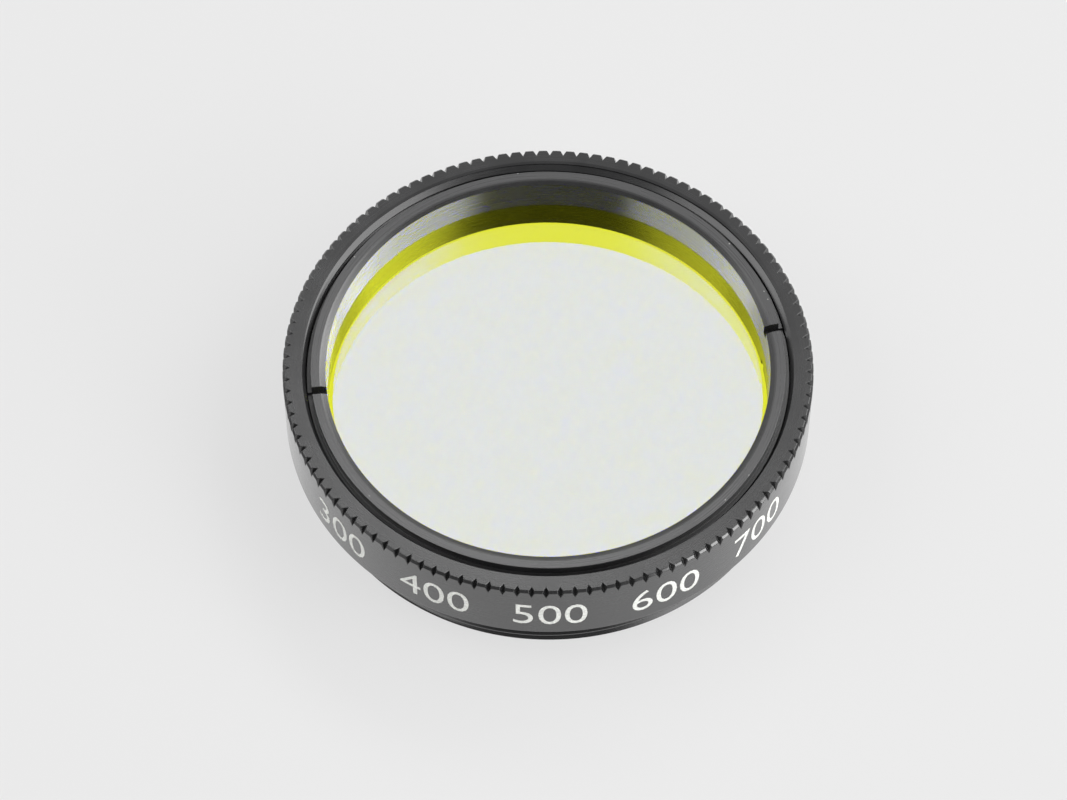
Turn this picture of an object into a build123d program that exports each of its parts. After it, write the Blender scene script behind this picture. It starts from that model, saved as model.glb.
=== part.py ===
"""Screw-in bandpass filter for a telescope eyepiece: cell, coated glass and retaining ring.

The origin is the centre of the plane that the threaded end stands on.
Z is the optical axis and points up through the slotted retaining ring.
All sizes are in millimetres.
"""

from build123d import *
import math
import os

# Standard filter thread, drawn as plain cylinders at its crest diameters
thread_diameter = 28.5
thread_pitch = 0.6
thread_depth = 0.53 * thread_pitch
male_thread_lead_in = 0.3
female_thread_chamfer = 0.19

# Cell, outside
total_height = 7.3
shoulder_height = 2.85
shoulder_width = 1.0
shoulder_chamfer = 0.12
rim_chamfer = 0.13

# Grip notches, angled V cuts across the top outer corner of the rim
notch_count = 118
notch_depth = 0.45
notch_height = 0.6
notch_angle = 65.0
notch_phase = 1.61

# Cell, inside
pocket_step = 0.23
seat_lip_width = 1.25
seat_lip_thickness = 0.6
lower_bore_step = 0.5
lower_bore_chamfer = 0.2

# Glass disc
glass_thickness = 1.75
glass_bevel = 0.12
glass_radial_clearance = 0.1
glass_depth_below_rim = 2.13

# Retaining ring
ring_recess = 0.03
ring_thread_clearance = 0.05
ring_neck_inset = 0.25
ring_neck_height = 0.55
ring_face_width = 0.49
ring_chamfer_width = 0.36
ring_chamfer_depth = 0.17
ring_bore_taper = 0.06
ring_foot_chamfer = 0.1

# Spanner slots, one straight saw cut across both sides of the ring
slot_width = 0.5
slot_depth = 0.7
slot_angle = 9.9
slot_offset = 0.36

# Radii that follow from the sizes above, from the outside in
thread_radius = thread_diameter / 2
band_radius = thread_radius + shoulder_width
female_crest_radius = thread_radius - thread_depth
pocket_radius = female_crest_radius - pocket_step
glass_radius = pocket_radius - glass_radial_clearance
aperture_radius = pocket_radius - seat_lip_width
lower_bore_radius = aperture_radius + lower_bore_step
ring_outer_radius = female_crest_radius - ring_thread_clearance
ring_neck_radius = ring_outer_radius - ring_neck_inset
ring_face_bore_radius = ring_neck_radius - ring_face_width - ring_chamfer_width
ring_foot_bore_radius = ring_face_bore_radius - ring_bore_taper

# Heights that follow from the sizes above, from the top down
ring_top = total_height - ring_recess
glass_top = total_height - glass_depth_below_rim
pocket_top = glass_top - 2 * glass_bevel
seat_height = glass_top - glass_thickness
lip_underside = seat_height - seat_lip_thickness


def turned(outline):
    """Solid of revolution about the optical axis from a closed outline of radius, height pairs."""
    face = make_face(Polyline(*[(radius, 0, height) for radius, height in outline], close=True))
    return revolve(face, axis=Axis.Z, revolution_arc=360)


def notch_cutter():
    """One V-section bar laid along the sloping root of a grip notch on the +X side."""
    slope = math.hypot(notch_depth, notch_height)
    middle = (band_radius - notch_depth / 2, 0, total_height - notch_height / 2)
    along = (notch_depth / slope, 0, -notch_height / slope)
    outwards = (notch_height / slope, 0, notch_depth / slope)
    reach = 2 * notch_depth
    half_width = reach * math.tan(math.radians(notch_angle / 2))
    root = Plane(origin=middle, x_dir=outwards, z_dir=along)
    section = make_face(Polyline((0, 0), (reach, half_width), (reach, -half_width), close=True))
    return extrude(root * section, amount=slope, both=True)


def filter_cell():
    body = turned([
        (aperture_radius, lip_underside),
        (lower_bore_radius, lip_underside),
        (lower_bore_radius, lower_bore_chamfer),
        (lower_bore_radius + lower_bore_chamfer, 0),
        (thread_radius - male_thread_lead_in, 0),
        (thread_radius, male_thread_lead_in),
        (thread_radius, shoulder_height),
        (band_radius - shoulder_chamfer, shoulder_height),
        (band_radius, shoulder_height + shoulder_chamfer),
        (band_radius, total_height - rim_chamfer),
        (band_radius - rim_chamfer, total_height),
        (female_crest_radius + female_thread_chamfer, total_height),
        (female_crest_radius, total_height - female_thread_chamfer),
        (female_crest_radius, pocket_top),
        (pocket_radius, pocket_top),
        (pocket_radius, seat_height),
        (aperture_radius, seat_height),
    ])
    notches = PolarLocations(0, notch_count, start_angle=notch_phase) * notch_cutter()
    return body - notches


def filter_glass():
    return turned([
        (0, seat_height),
        (glass_radius - glass_bevel, seat_height),
        (glass_radius, seat_height + glass_bevel),
        (glass_radius, glass_top - glass_bevel),
        (glass_radius - glass_bevel, glass_top),
        (0, glass_top),
    ])


def retaining_ring():
    body = turned([
        (ring_foot_bore_radius, glass_top),
        (ring_outer_radius - ring_foot_chamfer, glass_top),
        (ring_outer_radius, glass_top + ring_foot_chamfer),
        (ring_outer_radius, ring_top - ring_neck_height),
        (ring_neck_radius, ring_top - ring_neck_height),
        (ring_neck_radius, ring_top),
        (ring_face_bore_radius + ring_chamfer_width, ring_top),
        (ring_face_bore_radius, ring_top - ring_chamfer_depth),
    ])
    saw_cut = Pos(0, slot_offset, ring_top) * Box(2 * band_radius, slot_width, 2 * slot_depth)
    return body - Rot(0, 0, slot_angle) * saw_cut


os.makedirs("parts", exist_ok=True)
export_step(filter_cell(), "parts/filter_cell.step")
export_step(filter_glass(), "parts/filter_glass.step")
export_step(retaining_ring(), "parts/retaining_ring.step")
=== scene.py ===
"""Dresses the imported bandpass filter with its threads, coated glass, slotted ring, scale and studio."""

import math

import bmesh
import bpy
from bpy.props import FloatProperty, FloatVectorProperty, IntProperty, PointerProperty, StringProperty
from mathutils import Matrix, Quaternion, Vector


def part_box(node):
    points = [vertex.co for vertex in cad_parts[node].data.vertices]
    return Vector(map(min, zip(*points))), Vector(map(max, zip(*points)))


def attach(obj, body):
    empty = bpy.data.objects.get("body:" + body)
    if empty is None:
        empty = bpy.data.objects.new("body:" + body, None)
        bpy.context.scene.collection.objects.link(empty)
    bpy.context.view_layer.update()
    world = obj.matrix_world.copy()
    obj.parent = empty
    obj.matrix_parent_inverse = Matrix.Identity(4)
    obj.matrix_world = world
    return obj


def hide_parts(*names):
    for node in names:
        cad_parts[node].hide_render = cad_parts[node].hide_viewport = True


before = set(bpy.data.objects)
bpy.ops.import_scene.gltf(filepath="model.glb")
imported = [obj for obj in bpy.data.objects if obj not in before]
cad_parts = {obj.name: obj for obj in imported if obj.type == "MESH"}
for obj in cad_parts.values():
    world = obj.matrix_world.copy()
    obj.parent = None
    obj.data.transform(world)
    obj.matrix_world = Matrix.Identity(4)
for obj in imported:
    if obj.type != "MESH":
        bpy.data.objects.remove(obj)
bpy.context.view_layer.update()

bl_info = {
    "name": "Eyepiece Filter Dresser",
    "version": (1, 0, 0),
    "blender": (4, 5, 0),
    "location": "View3D > Sidebar > Filter",
    "description": "Builds the visible pieces of a screw-in bandpass filter around its CAD frame",
    "category": "Object",
}

MM = 0.001
AXIS = (0.0, 0.0, 1.0)
CENTRE = (0.0, 0.0, 0.0)
BLACK = (0.0, 0.0, 0.0, 1.0)
CAMERA_PLACE = (0.000542, -0.132337, 0.207826)
CAMERA_AIM = (-0.00565, 0.54348, -0.83941)
CAMERA_LENS = 141.17
LAMP_DISTANCE = 0.5
FLOOR_GLOW_SHARE = 0.82
ROOM_DARKNESS = 0.7
CELL_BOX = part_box("filter_cell")
GLASS_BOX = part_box("filter_glass")
RING_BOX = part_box("retaining_ring")


# Properties

def length(name, description, default):
    return FloatProperty(
        name=name, description=description, default=default, min=0.0, precision=5, unit="LENGTH")


def colour(name, description, default):
    return FloatVectorProperty(
        name=name, description=description, default=default, size=3, min=0.0, max=1.0, subtype="COLOR")


class ThreadSizes(bpy.types.PropertyGroup):
    """The filter thread, the same outside the cell, inside it and on the ring."""
    radius: length("Thread radius", "Outer radius of the filter thread", 14.25 * MM)
    pitch: length("Pitch", "Rise of the thread in one turn", 0.6 * MM)
    depth: length("Depth", "Height of the thread's V", 0.318 * MM)
    lead_in: length("Lead-in", "Height of the cone at the start of the male thread", 0.3 * MM)
    relief: length("Relief", "Height of the plain groove between the male thread and the shoulder", 0.4 * MM)
    start: FloatProperty(
        name="Start", description="Where the female thread comes out of the rim",
        default=math.radians(205.0), subtype="ANGLE")


class CellSizes(bpy.types.PropertyGroup):
    """The turned cell."""
    band_radius: length("Band radius", "Outer radius of the plain band", CELL_BOX[1].x)
    height: length("Height", "Height of the whole cell", CELL_BOX[1].z)
    shoulder_height: length("Shoulder height", "Underside of the band", 2.85 * MM)
    shoulder_chamfer: length("Shoulder chamfer", "Chamfer at the bottom of the band", 0.12 * MM)
    rim_chamfer: length("Rim chamfer", "Chamfer at the top of the band", 0.13 * MM)
    rim_dish: length("Rim dish", "How far the rim's face falls towards its inner edge", 0.085 * MM)
    inner_chamfer: length("Inner chamfer", "Chamfer at the mouth of the female thread", 0.19 * MM)
    pocket_radius: length("Pocket radius", "Radius of the pocket round the glass", 13.702 * MM)
    pocket_top: length("Pocket top", "Height of the ledge under the female thread", 4.93 * MM)
    aperture_radius: length("Aperture radius", "Radius of the lip's opening", 12.452 * MM)
    lip_thickness: length("Lip thickness", "Thickness of the lip that carries the glass", 0.6 * MM)
    bore_radius: length("Lower bore radius", "Radius of the bore inside the male thread", 12.952 * MM)
    bore_chamfer: length("Bore chamfer", "Chamfer at the bottom of the lower bore", 0.2 * MM)
    softness: length("Edge softness", "Width of the worn corner on each turned edge", 0.03 * MM)


class NotchSizes(bpy.types.PropertyGroup):
    """The grip notches round the rim."""
    count: IntProperty(name="Notches", description="Number of grip notches", default=118, min=12)
    depth: length("Depth", "How far a notch reaches in from the band", 0.45 * MM)
    height: length("Height", "How far a notch runs down the band", 0.6 * MM)
    angle: FloatProperty(
        name="Angle", description="Opening angle of the V", default=math.radians(65.0), subtype="ANGLE")
    phase: FloatProperty(
        name="Phase", description="Direction of the first notch", default=math.radians(1.61), subtype="ANGLE")


class RingSizes(bpy.types.PropertyGroup):
    """The slotted retaining ring."""
    neck_inset: length("Neck inset", "How much narrower the neck is than the threaded part", 0.25 * MM)
    neck_height: length("Neck height", "Height of the neck", 0.55 * MM)
    face_width: length("Face width", "Width of the flat face", 0.49 * MM)
    face_dish: length("Face dish", "How far the face falls towards the bore", 0.035 * MM)
    chamfer_width: length("Chamfer width", "Width of the chamfer at the top of the bore", 0.36 * MM)
    chamfer_depth: length("Chamfer depth", "Depth of the chamfer at the top of the bore", 0.17 * MM)
    taper: length("Taper", "How much the bore narrows towards the glass", 0.06 * MM)
    foot_chamfer: length("Foot chamfer", "Chamfer round the foot", 0.1 * MM)
    slot_width: length("Slot width", "Width of the spanner slots", 0.5 * MM)
    slot_depth: length("Slot depth", "Depth of the spanner slots", 0.7 * MM)
    slot_offset: length("Slot offset", "Distance of the saw cut from the axis", 0.36 * MM)
    slot_angle: FloatProperty(
        name="Slot angle", description="Direction of the saw cut", default=math.radians(9.9), subtype="ANGLE")
    softness: length("Edge softness", "Width of the worn corner on each edge", 0.015 * MM)


class GlassSizes(bpy.types.PropertyGroup):
    """The coated glass disc."""
    bevel: length("Bevel", "Width of the ground bevel round the disc", 0.12 * MM)
    index: FloatProperty(
        name="Index", description="Refractive index of the glass", default=1.52, min=1.0, max=2.5)


class ScaleSizes(bpy.types.PropertyGroup):
    """The wavelength scale on the band."""
    numbers: StringProperty(
        name="Numbers", description="Wavelengths along the scale", default="300 400 500 600 700")
    figure_height: length("Figure height", "Height of the figures", 2.05 * MM)
    foot: length("Foot", "Height at which the figures stand", 3.85 * MM)
    relief: length("Relief", "How far the marking stands proud of the band", 0.008 * MM)
    spacing: FloatProperty(
        name="Spacing", description="Angle from one number to the next", default=math.radians(25.5),
        subtype="ANGLE")
    middle: FloatProperty(
        name="Middle", description="Direction of the middle number", default=math.radians(271.0),
        subtype="ANGLE")


class Finishes(bpy.types.PropertyGroup):
    """Colours of the pieces and the studio."""
    cell: colour("Cell", "Black anodising of the cell", (0.014, 0.014, 0.0145))
    ring: colour("Ring", "Black anodising of the ring", (0.014, 0.014, 0.0145))
    # Painted highlight: a paler colour for the ring's top face, standing in for the light that falls on it.
    rubbed: colour("Highlighted", "Paler anodising on the ring's rubbed face", (0.05, 0.05, 0.051))
    marking: colour("Marking", "Silver of the scale", (0.88, 0.89, 0.85))
    front_mirror: colour("Front mirror", "Light that the upper coating throws back", (0.95, 0.98, 0.05))
    front_window: colour("Front window", "Light that the upper coating lets through", (0.04, 0.01, 0.93))
    rear_mirror: colour("Rear mirror", "Light that the lower coating throws back", (0.93, 0.93, 0.96))
    rear_window: colour("Rear window", "Light that the lower coating lets through", (0.0, 0.03, 0.02))
    floor: colour("Floor", "Pale floor and surroundings", (0.791, 0.791, 0.791))
    glow: colour("Floor glow", "Floor as it shows in the metal", (1.0, 1.0, 1.0))


# Mesh tools, all in millimetres

def mm(value):
    return value / MM


def outline_at(bm, points, angle):
    """An open wire through radius, height pairs, standing at an angle round the axis."""
    turn = Matrix.Rotation(angle, 3, "Z")
    corners = [bm.verts.new(turn @ Vector((radius, 0.0, height))) for radius, height in points]
    return corners + [bm.edges.new(pair) for pair in zip(corners, corners[1:])]


def turned(points, steps, softness=0.0):
    """A full turn of an open outline, with its corners softened."""
    bm = bmesh.new()
    wire = outline_at(bm, points, 0.0)
    bmesh.ops.spin(bm, geom=wire, cent=CENTRE, axis=AXIS, angle=math.tau, steps=steps, use_merge=True)
    if softness:
        soften(bm, softness)
    return bm


def soften(bm, width, segments=2):
    """Rounds every edge that turns by more than twenty degrees."""
    corners = [e for e in bm.edges if e.is_manifold and e.calc_face_angle(0.0) > math.radians(20.0)]
    bmesh.ops.bevel(
        bm, geom=corners, offset=width, offset_type="OFFSET", affect="EDGES", segments=segments,
        profile=0.5, material=-1, clamp_overlap=True)


def helix(root, crest, pitch, low, high, start, steps):
    """A right-hand V thread from one height to another, cut flat at both ends."""
    bm = bmesh.new()
    flank = abs(crest - root) * math.tan(math.radians(30.0))
    crest_flat = pitch / 8
    root_flat = pitch - crest_flat - 2 * flank
    middle = (root + crest) / 2
    base = low - pitch
    points = [
        (root, base),
        (root, base + root_flat),
        (middle, base + root_flat + flank / 2),
        (crest, base + root_flat + flank),
        (crest, base + root_flat + flank + crest_flat),
        (middle, base + pitch - flank / 2),
        (root, base + pitch),
    ]
    turns = math.ceil((high - low) / pitch) + 1
    wire = outline_at(bm, points, start)
    bmesh.ops.spin(
        bm, geom=wire, cent=CENTRE, axis=AXIS, dvec=(0.0, 0.0, pitch / steps), angle=turns * math.tau,
        steps=turns * steps)
    bmesh.ops.remove_doubles(bm, verts=bm.verts, dist=0.001)
    cut(bm, (0, 0, low), (0, 0, -1), clear=True)
    cut(bm, (0, 0, high), AXIS, clear=True)
    return bm


def cut(bm, point, normal, clear=False, faces=None):
    """Cuts through the mesh, or some of its faces, and may clear what lies beyond."""
    picked = bm.faces[:] if faces is None else faces
    geometry = set(picked)
    for face in picked:
        geometry.update(face.edges)
        geometry.update(face.verts)
    order = {"BMVert": 0, "BMEdge": 1, "BMFace": 2}
    listed = sorted(geometry, key=lambda item: (order[type(item).__name__], item.index))
    bmesh.ops.bisect_plane(
        bm, geom=listed, dist=1e-5, plane_co=point, plane_no=normal, clear_outer=clear)


def hold_radius(bm, limit):
    """Moves each point in or out to the radius that the limit gives for its height and radius."""
    for vert in bm.verts:
        radius = vert.co.xy.length
        wanted = limit(vert.co.z, radius)
        if wanted != radius:
            vert.co.xy *= wanted / radius


def join(parts, seam=0.0005):
    """Puts several meshes into one and closes the seams between them that are narrower than this."""
    whole = bmesh.new()
    for part in parts:
        mesh = bpy.data.meshes.new("part")
        part.to_mesh(mesh)
        part.free()
        whole.from_mesh(mesh)
        bpy.data.meshes.remove(mesh)
    if seam:
        bmesh.ops.remove_doubles(whole, verts=whole.verts, dist=seam)
    return whole


def bridge(bm, lowest, highest, inside, outside):
    """Joins the two open loops that lie between these heights and radii."""
    edges = [
        e for e in bm.edges
        if e.is_boundary and all(
            lowest < v.co.z < highest and inside < v.co.xy.length < outside for v in e.verts)
    ]
    heights = [v.co.z for e in edges for v in e.verts]
    if max(heights) - min(heights) < 1e-3:
        filled = bmesh.ops.triangle_fill(bm, edges=edges, use_beauty=True, normal=AXIS)
        faces = [item for item in filled["geom"] if isinstance(item, bmesh.types.BMFace)]
    else:
        faces = bmesh.ops.bridge_loops(bm, edges=edges)["faces"]
    if max(e.calc_length() for f in faces for e in f.edges) > outside - inside + 1.0:
        raise RuntimeError(f"the joint at {lowest:.2f} mm crosses the bore")


def finished(name, bm, materials, nodes=()):
    """Makes the piece's object in metres, with its place in its mesh, and hands it to the frame."""
    bmesh.ops.recalc_face_normals(bm, faces=bm.faces)
    bmesh.ops.scale(bm, vec=(MM, MM, MM), verts=bm.verts)
    open_edges = sum(not e.is_manifold for e in bm.edges)
    if open_edges:
        raise RuntimeError(f"{name} has {open_edges} open edges")
    for face in bm.faces:
        face.smooth = True
    mesh = bpy.data.meshes.new(name)
    bm.to_mesh(mesh)
    bm.free()
    mesh.set_sharp_from_angle(angle=math.radians(28.0))
    for material in materials:
        mesh.materials.append(material)
    piece = bpy.data.objects.new(name, mesh)
    bpy.context.scene.collection.objects.link(piece)
    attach(piece, "root")
    if nodes:
        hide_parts(*nodes)
    return piece


def shade_as_turned(piece):
    """Gives each face the normals of the plane, cone or cylinder that it lies on."""
    mesh = piece.data
    normals = []
    for face in mesh.polygons:
        ahead = math.atan2(face.center.y, face.center.x)
        for corner in face.vertices:
            place = mesh.vertices[corner].co
            turn = math.atan2(place.y, place.x) - ahead
            normals.append(Matrix.Rotation(turn, 3, "Z") @ face.normal)
    mesh.normals_split_custom_set(normals)


# Materials

class Signal:
    """A node's output that arithmetic extends with Math nodes."""

    def __init__(self, nodes, socket):
        self.nodes = nodes
        self.socket = socket

    def __add__(self, other):
        return self.nodes.math("ADD", self, other)

    def __radd__(self, other):
        return self.nodes.math("ADD", other, self)

    def __sub__(self, other):
        return self.nodes.math("SUBTRACT", self, other)

    def __rsub__(self, other):
        return self.nodes.math("SUBTRACT", other, self)

    def __mul__(self, other):
        return self.nodes.math("MULTIPLY", self, other)

    def __rmul__(self, other):
        return self.nodes.math("MULTIPLY", other, self)


class Nodes:
    """The node tree of a material, world or lamp, emptied and ready to fill."""

    def __init__(self, tree):
        self.tree = tree
        tree.nodes.clear()

    def add(self, kind, settings=None, sockets=None, out=0):
        """A node with its settings made first, then the values or links of its sockets."""
        node = self.tree.nodes.new("ShaderNode" + kind)
        for name, value in (settings or {}).items():
            setattr(node, name, value)
        for name, value in (sockets or {}).items():
            if isinstance(value, Signal):
                self.tree.links.new(value.socket, node.inputs[name])
            else:
                node.inputs[name].default_value = value
        return Signal(self, node.outputs[out]) if len(node.outputs) else None

    def math(self, operation, first, second=0.0):
        return self.add("Math", {"operation": operation}, {0: first, 1: second})

    def between(self, value, low, high):
        """A smooth step from 0 at the low number to 1 at the high one."""
        return self.add(
            "MapRange", {"interpolation_type": "SMOOTHSTEP"},
            {"Value": value, "From Min": low, "From Max": high})

    def blend(self, share, first, second):
        """A colour between two colours."""
        return self.add("Mix", {"data_type": "RGBA"}, {"Factor": share, 6: first, 7: second}, out=2)

    def split(self, vector):
        node = self.tree.nodes.new("ShaderNodeSeparateXYZ")
        self.tree.links.new(vector.socket, node.inputs[0])
        return [Signal(self, output) for output in node.outputs]

    def combine(self, x, y, z):
        return self.add("CombineXYZ", {}, {"X": x, "Y": y, "Z": z})


def material_nodes(name):
    """A new material and its empty node tree."""
    material = bpy.data.materials.new(name)
    material.use_nodes = True
    return material, Nodes(material.node_tree)


def opaque(rgb, gain=1.0):
    """A colour with its alpha, made brighter or darker."""
    return (*(min(1.0, channel * gain) for channel in rgb), 1.0)


def place_in_mm(nodes):
    """Object coordinates in millimetres."""
    place = nodes.add("TexCoord", out="Object")
    return nodes.add("VectorMath", {"operation": "SCALE"}, {0: place, "Scale": 1 / MM})


def black_anodised(name, rgb, roughness, rubbed=None, specks=()):
    """Satin black anodising over fine turning marks, with a painted highlight that makes the top face paler,
    and a few bright nicks.
    """
    material, nodes = material_nodes(name)
    place = place_in_mm(nodes)
    x, y, z = nodes.split(place)
    radius = nodes.math("SQRT", x * x + y * y)
    angle = nodes.math("ARCTAN2", y, x)
    across = radius + z * 1.37
    marks = nodes.add(
        "TexNoise", {"noise_dimensions": "2D"},
        {"Vector": nodes.combine(across * 9.0, angle * 2.5, 0.0), "Scale": 1.0, "Detail": 3.0}, out="Fac")
    grain = nodes.add("TexNoise", {}, {"Vector": place, "Scale": 16.0, "Detail": 2.0}, out="Fac")
    cloud = nodes.add("TexNoise", {}, {"Vector": place, "Scale": 0.45, "Detail": 3.0}, out="Fac")
    worn = nodes.between(grain * 0.6 + marks * 0.4, 0.6, 0.75)
    base = nodes.blend(nodes.between(cloud, 0.3, 0.7), opaque(rgb, 0.85), opaque(rgb, 1.2))
    base = nodes.blend(worn * 0.5, base, opaque(rgb, 1.8))
    # Painted highlight: the face near the given height is blended to a paler colour in place of the light on
    # it.
    if rubbed:
        paler, height = rubbed
        base = nodes.blend(nodes.between(z, height - 0.1, height - 0.04), base, opaque(paler))
    shine = roughness + (cloud - 0.5) * 0.08 + (marks - 0.5) * 0.1
    for at, size in specks:
        distance = nodes.add("VectorMath", {"operation": "DISTANCE"}, {0: place, 1: at}, out="Value")
        nick = nodes.between(distance + (grain - 0.5) * size, size, size * 0.4)
        base = nodes.blend(nick, base, (0.45, 0.45, 0.43, 1.0))
    bump = nodes.add("Bump", {}, {"Strength": 0.35, "Distance": 2e-6, "Height": marks + grain * 0.5})
    surface = nodes.add("BsdfPrincipled", {}, {
        "Base Color": base, "Roughness": shine, "IOR": 1.5, "Coat Weight": 0.5, "Coat Roughness": 0.2,
        "Coat IOR": 1.5, "Normal": bump})
    nodes.add("OutputMaterial", {}, {"Surface": surface})
    return material


def silver_marking(name, rgb):
    """Marking burnt into the anodising, pale and a little uneven."""
    material, nodes = material_nodes(name)
    place = place_in_mm(nodes)
    grain = nodes.add("TexNoise", {}, {"Vector": place, "Scale": 7.0, "Detail": 4.0}, out="Fac")
    base = nodes.blend(nodes.between(grain, 0.3, 0.7), opaque(rgb, 0.82), opaque(rgb, 1.08))
    surface = nodes.add("BsdfPrincipled", {}, {
        "Base Color": base, "Roughness": 0.45 + grain * 0.2})
    nodes.add("OutputMaterial", {}, {"Surface": surface})
    return material


def interference_coating(name, reflected, passed, index):
    """A coating that mirrors some colours and lets others through."""
    material, nodes = material_nodes(name)
    mirror = nodes.add("BsdfGlossy", {}, {"Color": opaque(reflected), "Roughness": 0.0})
    window = nodes.add("BsdfRefraction", {}, {"Color": opaque(passed), "Roughness": 0.0, "IOR": index})
    surface = nodes.add("AddShader", {}, {0: mirror, 1: window})
    nodes.add("OutputMaterial", {}, {"Surface": surface})
    return material


def ground_glass(name, index):
    """The ground edge and bevels of the disc."""
    material, nodes = material_nodes(name)
    place = nodes.add("TexCoord", out="Object")
    grain = nodes.add("TexNoise", {}, {"Vector": place, "Scale": 9000.0, "Detail": 2.0}, out="Fac")
    surface = nodes.add("BsdfPrincipled", {}, {
        "Base Color": (0.8, 0.82, 0.82, 1.0), "Roughness": 0.45 + grain * 0.2, "IOR": index,
        "Transmission Weight": 0.8})
    nodes.add("OutputMaterial", {}, {"Surface": surface})
    return material


# Pieces

def notched_corner(cell, notch, inner_radius, foot):
    """One tooth of the rim with half a notch on each side of its middle line, repeated all round."""
    bm = bmesh.new()
    half = math.pi / notch.count
    band, top, chamfer = mm(cell.band_radius), mm(cell.height), mm(cell.rim_chamfer)
    wire = outline_at(bm, [(band, foot), (band, top - chamfer), (band - chamfer, top), inner_radius], -half)
    bmesh.ops.spin(bm, geom=wire, cent=CENTRE, axis=AXIS, angle=2 * half, steps=2)
    depth, height, opening = mm(notch.depth), mm(notch.height), notch.angle / 2
    middle = Vector((band - depth / 2, 0.0, top - height / 2))
    along = Vector((depth, 0.0, -height)).normalized()
    outwards = Vector((height, 0.0, depth)).normalized()
    for side in (1, -1):
        flank = outwards * math.cos(opening) + Vector((0.0, side, 0.0)) * math.sin(opening)
        faces = [f for f in bm.faces if f.calc_center_median().y * side > 0]
        cut(bm, middle, along.cross(flank), faces=faces)

    def inside(point):
        return (point - middle).dot(outwards) * math.tan(opening) - abs(point.y)

    removed = [f for f in bm.faces if inside(f.calc_center_median()) > 0]
    bmesh.ops.delete(bm, geom=removed, context="FACES")
    lips = [e for e in bm.edges if e.is_boundary and all(abs(inside(v.co)) < 1e-4 for v in e.verts)]
    ends = sorted({v for e in lips for v in e.verts if abs(v.co.y) < 1e-5}, key=lambda v: v.co.z)
    root = bm.edges.new(ends)
    for side in (1, -1):
        loop = [e for e in lips if (e.verts[0].co.y + e.verts[1].co.y) * side > 0]
        bmesh.ops.edgeloop_fill(bm, edges=loop + [root])
    soften(bm, mm(cell.softness) * 0.6, segments=1)
    bmesh.ops.spin(
        bm, geom=bm.verts[:] + bm.edges[:] + bm.faces[:], cent=CENTRE, axis=AXIS,
        angle=math.tau - 2 * half, steps=notch.count - 1, use_duplicate=True)
    return bm


class FILTER_OT_cell(bpy.types.Operator):
    """Build the turned cell with its notched rim and both threads"""
    bl_idname = "filter_dresser.cell"
    bl_label = "Cell"

    def execute(self, context):
        scene = context.scene
        cell, notch, thread = scene.filter_cell, scene.filter_notch, scene.filter_thread
        steps = 2 * notch.count
        soft = mm(cell.softness)
        band, top = mm(cell.band_radius), mm(cell.height)
        crest = mm(thread.radius)
        depth, pitch = mm(thread.depth), mm(thread.pitch)
        root = crest - depth
        shoulder, shoulder_chamfer = mm(cell.shoulder_height), mm(cell.shoulder_chamfer)
        lead_in, relief = mm(thread.lead_in), mm(thread.relief)
        bore, bore_chamfer = mm(cell.bore_radius), mm(cell.bore_chamfer)
        aperture, seat = mm(cell.aperture_radius), mm(GLASS_BOX[0].z)
        lip = seat - mm(cell.lip_thickness)
        pocket, ledge = mm(cell.pocket_radius), mm(cell.pocket_top)
        mouth = top - mm(cell.rim_dish)
        mouth_radius = root + mm(cell.inner_chamfer)
        collar = mouth_radius + 0.3
        slope = (top - mouth) / (band - mm(cell.rim_chamfer) - mouth_radius)
        face_edge = (collar + 0.2, mouth + (collar + 0.2 - mouth_radius) * slope)
        notch_foot = top - mm(notch.height) - 0.2

        inside = turned([
            (root - 0.15, 0.0),
            (bore + bore_chamfer, 0.0),
            (bore, bore_chamfer),
            (bore, lip),
            (aperture, lip),
            (aperture, seat),
            (pocket, seat),
            (pocket, ledge),
            (root - 0.1, ledge),
        ], steps, soft)
        outside = turned([
            (root, shoulder - relief + 0.05),
            (root, shoulder),
            (band - shoulder_chamfer, shoulder),
            (band, shoulder + shoulder_chamfer),
            (band, notch_foot),
        ], steps, soft)
        face = turned([face_edge, (collar, mouth + (collar - mouth_radius) * slope)], steps)
        rim = notched_corner(cell, notch, face_edge, notch_foot)

        runout = shoulder - relief
        male = helix(root, crest, pitch, 0.0, runout, 0.0, steps)
        cut(male, (0, 0, lead_in), AXIS)
        hold_radius(male, lambda z, r: min(
            r, crest - max(0.0, lead_in - z), root + max(0.0, (runout - z) * 2.0)))
        female = helix(crest, root, pitch, ledge, mouth, thread.start, steps)
        cut(female, (0, 0, mouth - mm(cell.inner_chamfer)), AXIS)
        hold_radius(female, lambda z, r: max(r, mouth_radius - (mouth - z)))

        bm = join([inside, outside, face, rim, male, female])
        bridge(bm, -0.01, 0.01, root - 0.2, crest + 0.01)
        bridge(bm, runout - 0.01, runout + 0.06, root - 0.01, root + 0.01)
        bridge(bm, ledge - 0.01, ledge + 0.01, root - 0.2, crest + 0.01)
        bridge(bm, mouth - 0.01, face_edge[1], mouth_radius - 0.01, collar + 0.01)
        bmesh.ops.rotate(bm, cent=CENTRE, matrix=Matrix.Rotation(notch.phase, 3, "Z"), verts=bm.verts)
        coat = black_anodised("anodised_cell", scene.filter_finish.cell, 0.26)
        shade_as_turned(finished("cell_turned", bm, [coat], ["filter_cell"]))
        return {"FINISHED"}


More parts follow.
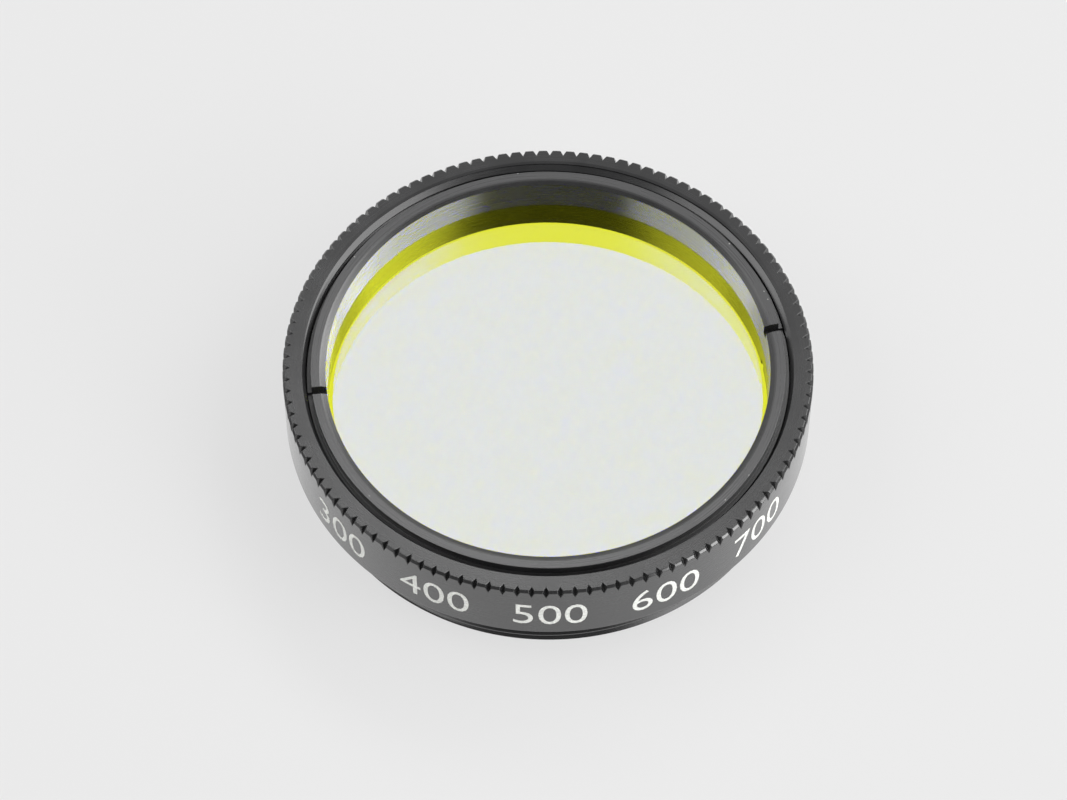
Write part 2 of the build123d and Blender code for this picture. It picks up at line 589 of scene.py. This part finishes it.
class FILTER_OT_glass(bpy.types.Operator):
    """Build the glass disc with its two coatings"""
    bl_idname = "filter_dresser.glass"
    bl_label = "Glass"

    def execute(self, context):
        scene = context.scene
        finish, sizes = scene.filter_finish, scene.filter_glass
        low, high, radius = mm(GLASS_BOX[0].z), mm(GLASS_BOX[1].z), mm(GLASS_BOX[1].x)
        bevel = mm(sizes.bevel)
        bm = turned([
            (0.0, low),
            (radius - bevel, low),
            (radius, low + bevel),
            (radius, high - bevel),
            (radius - bevel, high),
            (0.0, high),
        ], 2 * scene.filter_notch.count)
        bmesh.ops.remove_doubles(bm, verts=bm.verts, dist=0.0005)
        for face in bm.faces:
            height = face.calc_center_median().z
            face.material_index = 0 if height > high - 1e-4 else 1 if height < low + 1e-4 else 2
        front = interference_coating("front_coating", finish.front_mirror, finish.front_window, sizes.index)
        rear = interference_coating("rear_coating", finish.rear_mirror, finish.rear_window, sizes.index)
        edge = ground_glass("ground_edge", sizes.index)
        finished("glass_disc", bm, [front, rear, edge], ["filter_glass"])
        return {"FINISHED"}


def saw_slots(bm, sizes, top):
    """Cuts the straight spanner slot across both sides of the ring."""
    floor = top - mm(sizes.slot_depth)
    along, across = Matrix.Rotation(sizes.slot_angle, 3, "Z").col[:2]
    half, offset = mm(sizes.slot_width) / 2, mm(sizes.slot_offset)

    def beside(point):
        return point.dot(across) - offset

    for side in (1, -1):
        cut(bm, across * (offset + side * half), across)
    cut(bm, (0, 0, floor), AXIS)
    removed = []
    for face in bm.faces:
        centre = face.calc_center_median()
        if abs(beside(centre)) < half and centre.z > floor:
            removed.append(face)
    bmesh.ops.delete(bm, geom=removed, context="FACES")
    for direction in (1, -1):
        lips = [e for e in bm.edges if e.is_boundary and e.verts[0].co.dot(along) * direction > 0]
        floor_edges = [e for e in lips if all(abs(v.co.z - floor) < 1e-4 for v in e.verts)]
        corners = sorted(
            {v for e in floor_edges for v in e.verts if abs(abs(beside(v.co)) - half) < 1e-4},
            key=lambda v: (beside(v.co) > 0, v.co.xy.length))
        sills = [bm.edges.new(corners[:2]), bm.edges.new(corners[2:])]
        for side, sill in zip((-1, 1), sills):
            wall = [
                e for e in lips
                if e not in floor_edges and all(abs(beside(v.co) - side * half) < 1e-4 for v in e.verts)
            ]
            bmesh.ops.edgeloop_fill(bm, edges=wall + [sill])
        bmesh.ops.edgeloop_fill(bm, edges=floor_edges + sills)


class FILTER_OT_ring(bpy.types.Operator):
    """Build the retaining ring with its two spanner slots"""
    bl_idname = "filter_dresser.ring"
    bl_label = "Retaining ring"

    def execute(self, context):
        scene = context.scene
        sizes = scene.filter_ring
        foot, top, outer = mm(RING_BOX[0].z), mm(RING_BOX[1].z), mm(RING_BOX[1].x)
        neck = outer - mm(sizes.neck_inset)
        bore = neck - mm(sizes.face_width) - mm(sizes.chamfer_width)
        foot_chamfer = mm(sizes.foot_chamfer)
        outline = [
            (bore - mm(sizes.taper), foot),
            (outer - foot_chamfer, foot),
            (outer, foot + foot_chamfer),
            (outer, top - mm(sizes.neck_height)),
            (neck, top - mm(sizes.neck_height)),
            (neck, top),
            (bore + mm(sizes.chamfer_width), top - mm(sizes.face_dish)),
            (bore, top - mm(sizes.chamfer_depth)),
        ]
        bm = turned(outline + outline[:1], 240)
        bmesh.ops.remove_doubles(bm, verts=bm.verts, dist=0.0005)
        soften(bm, mm(sizes.softness))
        saw_slots(bm, sizes, top)
        nicks = (
            (13.53, 318.0, 0.05), (13.6, 327.0, 0.05), (13.53, 22.5, 0.05), (13.53, 20.0, 0.04),
            (13.56, 39.0, 0.06), (13.43, 222.0, 0.05), (13.62, 98.0, 0.05), (13.55, 147.0, 0.04),
        )
        specks = [
            ((r * math.cos(math.radians(a)), r * math.sin(math.radians(a)), top), size)
            for r, a, size in nicks
        ]
        finish = scene.filter_finish
        # The ring's top face gets the painted highlight.
        coat = black_anodised("anodised_ring", finish.ring, 0.28, (finish.rubbed, top), specks)
        shade_as_turned(finished("ring_slotted", bm, [coat], ["retaining_ring"]))
        return {"FINISHED"}


def wrapped(bm, angle, radius, foot):
    """Rolls a flat mesh that stands at x = 0 round the band at that angle and radius."""
    for vert in bm.verts:
        x, y, z = vert.co
        turn = angle + x / radius
        vert.co = ((radius + z) * math.cos(turn), (radius + z) * math.sin(turn), foot + y)


def thickened(bm, sunk, proud):
    """Gives a flat mesh its thickness."""
    step = 0.25
    reach = max(abs(v.co.x) for v in bm.verts)
    count = int(reach / step)
    for k in range(-count, count + 1):
        cut(bm, (k * step, 0, 0), (1, 0, 0))
    bmesh.ops.translate(bm, vec=(0, 0, -sunk), verts=bm.verts)
    pushed = bmesh.ops.extrude_face_region(bm, geom=bm.faces[:])
    raised = [item for item in pushed["geom"] if isinstance(item, bmesh.types.BMVert)]
    bmesh.ops.translate(bm, vec=(0, 0, sunk + proud), verts=raised)


def figures(text, height):
    """The flat mesh of a number, centred on x = 0 and standing on y = 0."""
    curve = bpy.data.curves.new("figures", "FONT")
    curve.body = text
    curve.size = 1.0
    curve.resolution_u = 4
    curve.offset = -0.004
    holder = bpy.data.objects.new("figures", curve)
    bpy.context.scene.collection.objects.link(holder)
    bpy.context.view_layer.update()
    mesh = bpy.data.meshes.new_from_object(holder)
    bpy.data.objects.remove(holder)
    bpy.data.curves.remove(curve)
    bm = bmesh.new()
    bm.from_mesh(mesh)
    bpy.data.meshes.remove(mesh)
    bmesh.ops.remove_doubles(bm, verts=bm.verts, dist=1e-4)
    xs, ys = [v.co.x for v in bm.verts], [v.co.y for v in bm.verts]
    size = height / (max(ys) - min(ys))
    bmesh.ops.translate(bm, vec=(-(min(xs) + max(xs)) / 2, -min(ys), 0), verts=bm.verts)
    bmesh.ops.scale(bm, vec=(size, size, size), verts=bm.verts)
    return bm


class FILTER_OT_scale(bpy.types.Operator):
    """Mark the wavelength scale on the band"""
    bl_idname = "filter_dresser.scale"
    bl_label = "Scale"

    def execute(self, context):
        scene = context.scene
        sizes = scene.filter_scale
        radius, foot = mm(scene.filter_cell.band_radius), mm(sizes.foot)
        height, proud = mm(sizes.figure_height), mm(sizes.relief)
        numbers = sizes.numbers.split()
        parts = []
        for place, number in enumerate(numbers):
            step = place - (len(numbers) - 1) / 2
            bm = figures(number, height)
            thickened(bm, proud, proud)
            wrapped(bm, sizes.middle + step * sizes.spacing, radius, foot)
            parts.append(bm)
        whole = join(parts, seam=0.0)
        marking = silver_marking("silver_marking", scene.filter_finish.marking)
        finished("scale_marks", whole, [marking])
        return {"FINISHED"}


def lamp(name, azimuth, elevation, width, height, power, roll=0.0):
    """A soft box that faces the part, with its angles in degrees and its power in watts."""
    light = bpy.data.lights.new(name, "AREA")
    light.shape = "RECTANGLE"
    light.size, light.size_y = width, height
    light.energy = power
    holder = bpy.data.objects.new(name, light)
    bpy.context.scene.collection.objects.link(holder)
    azimuth, elevation = math.radians(azimuth), math.radians(elevation)
    level = math.cos(elevation)
    outwards = Vector((level * math.cos(azimuth), level * math.sin(azimuth), math.sin(elevation)))
    holder.location = outwards * LAMP_DISTANCE
    facing = outwards.to_track_quat("Z", "Y") @ Quaternion(AXIS, math.radians(roll))
    holder.rotation_euler = facing.to_euler()
    holder.visible_camera = False


def ray_kinds(nodes):
    """1 for what the camera sees straight, then in a mirror, then straight, mirrored or through glass."""
    path = nodes.tree.nodes.new("ShaderNodeLightPath")
    seen = [Signal(nodes, path.outputs[f"Is {kind} Ray"]) for kind in ("Camera", "Glossy", "Transmission")]
    straight, mirrored, through = seen
    return straight, mirrored, nodes.math("MAXIMUM", nodes.math("MAXIMUM", straight, mirrored), through)


class FILTER_OT_studio(bpy.types.Operator):
    """Set up the floor, the soft boxes, the surroundings and the camera"""
    bl_idname = "filter_dresser.studio"
    bl_label = "Studio"

    def execute(self, context):
        scene = context.scene
        pale = opaque(scene.filter_finish.floor)

        bm = bmesh.new()
        bmesh.ops.create_grid(bm, x_segments=8, y_segments=8, size=1.5)
        mesh = bpy.data.meshes.new("floor")
        bm.to_mesh(mesh)
        bm.free()
        floor = bpy.data.objects.new("floor", mesh)
        scene.collection.objects.link(floor)
        material, nodes = material_nodes("pale_floor")
        _, mirrored, seen = ray_kinds(nodes)
        plain = nodes.add("BsdfDiffuse", {}, {"Color": pale})
        shown = nodes.blend(mirrored, pale, opaque(scene.filter_finish.glow))
        glow = nodes.add("Emission", {}, {"Color": shown})
        surface = nodes.add("MixShader", {}, {0: seen * FLOOR_GLOW_SHARE, 1: plain, 2: glow})
        nodes.add("OutputMaterial", {}, {"Surface": surface})
        mesh.materials.append(material)

        world = bpy.data.worlds.new("surroundings")
        scene.world = world
        world.use_nodes = True
        nodes = Nodes(world.node_tree)
        straight, _, seen = ray_kinds(nodes)
        _, y, z = nodes.split(nodes.add("TexCoord", out="Generated"))
        towards_camera = z * 0.839 - y * 0.543
        overhead = nodes.between(towards_camera, 0.455, 0.6)
        low = nodes.between(z, 0.35, 0.1)
        dark = nodes.math("MAXIMUM", overhead, low) * ROOM_DARKNESS * (1.0 - straight)
        sky = nodes.blend(dark, pale, BLACK)
        fill = nodes.add("Background", {}, {"Color": (0.1, 0.1, 0.1, 1.0)})
        shown = nodes.add("Background", {}, {"Color": sky})
        surface = nodes.add("MixShader", {}, {0: seen, 1: fill, 2: shown})
        nodes.add("OutputWorld", {}, {"Surface": surface})

        lamp("softbox_right", azimuth=-3, elevation=46, width=0.64, height=0.30, power=2.25)
        lamp("softbox_low", azimuth=-28, elevation=21, width=0.36, height=0.12, power=1.3)
        lamp("softbox_back", azimuth=72, elevation=45, width=0.36, height=0.13, power=0.85, roll=-14)
        lamp("softbox_left", azimuth=187, elevation=44, width=0.50, height=0.32, power=1.3)

        view = bpy.data.cameras.new("camera")
        view.lens = CAMERA_LENS
        view.sensor_width = 36.0
        view.clip_start = 0.001
        camera = bpy.data.objects.new("camera", view)
        scene.collection.objects.link(camera)
        camera.location = CAMERA_PLACE
        camera.rotation_euler = Vector(CAMERA_AIM).to_track_quat("-Z", "Y").to_euler()
        scene.camera = camera
        scene.view_settings.view_transform = "Standard"
        return {"FINISHED"}


class FILTER_PT_panel(bpy.types.Panel):
    """Lists the pieces of the filter"""
    bl_label = "Filter"
    bl_idname = "FILTER_PT_panel"
    bl_space_type = "VIEW_3D"
    bl_region_type = "UI"
    bl_category = "Filter"

    def draw(self, context):
        for operator in OPERATORS:
            self.layout.operator(operator.bl_idname)
        for group in GROUPS:
            box = self.layout.box()
            for name in GROUPS[group].__annotations__:
                box.prop(getattr(context.scene, group), name)


GROUPS = {
    "filter_thread": ThreadSizes,
    "filter_cell": CellSizes,
    "filter_notch": NotchSizes,
    "filter_ring": RingSizes,
    "filter_glass": GlassSizes,
    "filter_scale": ScaleSizes,
    "filter_finish": Finishes,
}
OPERATORS = (FILTER_OT_cell, FILTER_OT_glass, FILTER_OT_ring, FILTER_OT_scale, FILTER_OT_studio)


def register():
    for kind in (*GROUPS.values(), *OPERATORS, FILTER_PT_panel):
        bpy.utils.register_class(kind)
    for name, kind in GROUPS.items():
        setattr(bpy.types.Scene, name, PointerProperty(type=kind))


def unregister():
    for name in GROUPS:
        delattr(bpy.types.Scene, name)
    for kind in (FILTER_PT_panel, *reversed(OPERATORS), *reversed(GROUPS.values())):
        bpy.utils.unregister_class(kind)


def main():
    register()
    bpy.ops.filter_dresser.cell()
    bpy.ops.filter_dresser.glass()
    bpy.ops.filter_dresser.ring()
    bpy.ops.filter_dresser.scale()
    bpy.ops.filter_dresser.studio()


if __name__ == "__main__":
    main()
